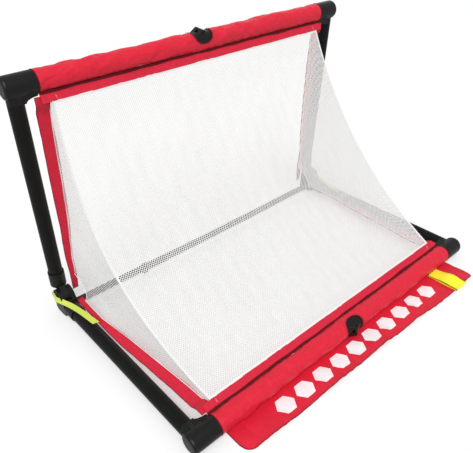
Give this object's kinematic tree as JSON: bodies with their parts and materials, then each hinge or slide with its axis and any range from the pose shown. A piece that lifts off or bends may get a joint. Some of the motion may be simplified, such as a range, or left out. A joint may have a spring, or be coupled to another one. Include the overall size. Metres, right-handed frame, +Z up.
{
  "type": "pop-up soccer goal",
  "caption": "Free-standing folding soccer goal: an upright and a ground frame hinged along one line, with padded crossbars and a slanted net.",
  "frame": {"origin": "on the ground, under the middle of the open goal", "axes": "+X along the crossbars to the goal's right as seen from behind the net, +Y from the ground frame's crossbar to the hinges, +Z up"},
  "size_m": [1.2808, 0.9112, 0.8195],
  "materials": {
    "black_powder_coated_tube": "satin black powder coat",
    "black_moulded_plastic": "fine moulded texture",
    "zinc_plated_steel": "bright zinc plate",
    "red_woven_polyester": "plain woven polyester",
    "white_knotless_mesh": "knotless polyester mesh",
    "black_webbing": "flat woven webbing",
    "neon_yellow_webbing": "flat woven webbing"
  },
  "bodies": {
    "lower_left_side": {"hinge_strap": "black_webbing", "left_hinge_lower_leaf": "black_moulded_plastic", "left_hinge_pin": "zinc_plated_steel", "left_lock_spring": "zinc_plated_steel", "left_side_net": "white_knotless_mesh", "lower_left_corner": "black_moulded_plastic", "lower_left_corner_pin": "zinc_plated_steel", "lower_left_leg": "black_powder_coated_tube", "lower_left_strip": "red_woven_polyester", "strap_slider": "black_moulded_plastic"},
    "back_net_lower": {"lower_back_net": "white_knotless_mesh"},
    "back_net_upper": {"upper_back_net": "white_knotless_mesh"},
    "left_lock": {"left_lock_plunger": "zinc_plated_steel", "left_pull_strap": "neon_yellow_webbing"},
    "lower_bar_left": {"banner": "red_woven_polyester", "lower_centre_pin": "zinc_plated_steel", "lower_left_bar_end": "black_moulded_plastic", "lower_left_bar_tube": "black_powder_coated_tube", "lower_left_centre_leaf": "black_moulded_plastic", "lower_left_header_tape": "red_woven_polyester", "lower_left_sleeve": "red_woven_polyester"},
    "lower_bar_right": {"banner_band": "neon_yellow_webbing", "lower_right_bar_end": "black_moulded_plastic", "lower_right_bar_tube": "black_powder_coated_tube", "lower_right_centre_leaf": "black_moulded_plastic", "lower_right_header_tape": "red_woven_polyester", "lower_right_sleeve": "red_woven_polyester"},
    "lower_right_side": {"lower_right_corner": "black_moulded_plastic", "lower_right_corner_pin": "zinc_plated_steel", "lower_right_leg": "black_powder_coated_tube", "lower_right_strip": "red_woven_polyester", "right_hinge_lower_leaf": "black_moulded_plastic", "right_hinge_pin": "zinc_plated_steel", "right_lock_spring": "zinc_plated_steel", "right_side_net": "white_knotless_mesh"},
    "right_lock": {"right_lock_plunger": "zinc_plated_steel", "right_pull_strap": "neon_yellow_webbing"},
    "upper_bar_left": {"upper_centre_pin": "zinc_plated_steel", "upper_left_bar_end": "black_moulded_plastic", "upper_left_bar_tube": "black_powder_coated_tube", "upper_left_centre_leaf": "black_moulded_plastic", "upper_left_header_tape": "red_woven_polyester", "upper_left_sleeve": "red_woven_polyester"},
    "upper_bar_right": {"upper_right_bar_end": "black_moulded_plastic", "upper_right_bar_tube": "black_powder_coated_tube", "upper_right_centre_leaf": "black_moulded_plastic", "upper_right_header_tape": "red_woven_polyester", "upper_right_sleeve": "red_woven_polyester"},
    "upper_left_side": {"left_hinge_upper_leaf": "black_moulded_plastic", "upper_left_corner": "black_moulded_plastic", "upper_left_corner_pin": "zinc_plated_steel", "upper_left_leg": "black_powder_coated_tube", "upper_left_strip": "red_woven_polyester"},
    "upper_right_side": {"right_hinge_upper_leaf": "black_moulded_plastic", "upper_right_corner": "black_moulded_plastic", "upper_right_corner_pin": "zinc_plated_steel", "upper_right_leg": "black_powder_coated_tube", "upper_right_strip": "red_woven_polyester"}
  },
  "joints": [
    {"name": "left_side_hinge", "type": "hinge", "parent": "lower_left_side", "child": "upper_left_side", "pos_m": [-0.61, 0.40078, 0.06275], "axis": [1, 0, 0], "range_deg": [0, 85], "deforming": ["left_side_net", "right_side_net", "upper_back_net", "lower_back_net", "upper_left_header_tape", "upper_right_header_tape", "lower_left_header_tape", "lower_right_header_tape"]},
    {"name": "upper_left_bar_hinge", "type": "hinge", "parent": "upper_left_side", "child": "upper_bar_left", "pos_m": [-0.572, 0.37146, 0.76221], "axis": [0, 0.9962, 0.0872], "range_deg": [0, 90], "deforming": ["hinge_strap", "strap_slider", "banner", "banner_band", "upper_left_strip", "upper_right_strip", "lower_left_strip", "lower_right_strip"]},
    {"name": "upper_centre_hinge", "type": "hinge", "parent": "upper_bar_left", "child": "upper_bar_right", "pos_m": [0, 0.36721, 0.81077], "axis": [0, 0.9962, 0.0872], "range_deg": [-180, 0]},
    {"name": "upper_right_bar_hinge", "type": "hinge", "parent": "upper_bar_right", "child": "upper_right_side", "pos_m": [0.572, 0.37146, 0.76221], "axis": [0, 0.9962, 0.0872], "range_deg": [0, 90]},
    {"name": "right_side_hinge", "type": "hinge", "parent": "upper_right_side", "child": "lower_right_side", "pos_m": [0.61, 0.40078, 0.06275], "axis": [1, 0, 0], "range_deg": [-85, 0]},
    {"name": "lower_left_bar_hinge", "type": "hinge", "parent": "lower_left_side", "child": "lower_bar_left", "pos_m": [-0.572, -0.29857, 0.031], "axis": [0, 0, 1], "range_deg": [0, 90]},
    {"name": "lower_centre_hinge", "type": "hinge", "parent": "lower_bar_left", "child": "lower_bar_right", "pos_m": [0, -0.34732, 0.031], "axis": [0, 0, 1], "range_deg": [-180, 0]},
    {"name": "upper_net_fold", "type": "hinge", "parent": "upper_left_side", "child": "back_net_upper", "pos_m": [0, 0.36998, 0.77914], "axis": [1, 0, 0], "range_deg": [0, 31]},
    {"name": "lower_net_fold", "type": "hinge", "parent": "lower_left_side", "child": "back_net_lower", "pos_m": [0, -0.31557, 0.031], "axis": [1, 0, 0], "range_deg": [-31, 0]},
    {"name": "left_lock_pull", "type": "slide", "parent": "lower_left_side", "child": "left_lock", "axis": [-1, 0, 0], "range_m": [0, 0.005], "stiffness_N_per_m": 900, "springref_m": -0.004, "deforming": ["left_lock_spring"]},
    {"name": "right_lock_pull", "type": "slide", "parent": "lower_right_side", "child": "right_lock", "axis": [1, 0, 0], "range_m": [0, 0.005], "stiffness_N_per_m": 900, "springref_m": -0.004, "deforming": ["right_lock_spring"]}
  ],
  "couplings": [
    {"joint": "right_side_hinge", "follows": "left_side_hinge", "ratio": -1},
    {"joint": "upper_net_fold", "follows": "left_side_hinge", "ratio": 0.361},
    {"joint": "lower_net_fold", "follows": "left_side_hinge", "ratio": -0.361},
    {"joint": "upper_centre_hinge", "follows": "upper_left_bar_hinge", "ratio": -2},
    {"joint": "upper_right_bar_hinge", "follows": "upper_left_bar_hinge", "ratio": 1},
    {"joint": "lower_left_bar_hinge", "follows": "upper_left_bar_hinge", "ratio": 1},
    {"joint": "lower_centre_hinge", "follows": "upper_left_bar_hinge", "ratio": -2}
  ]
}
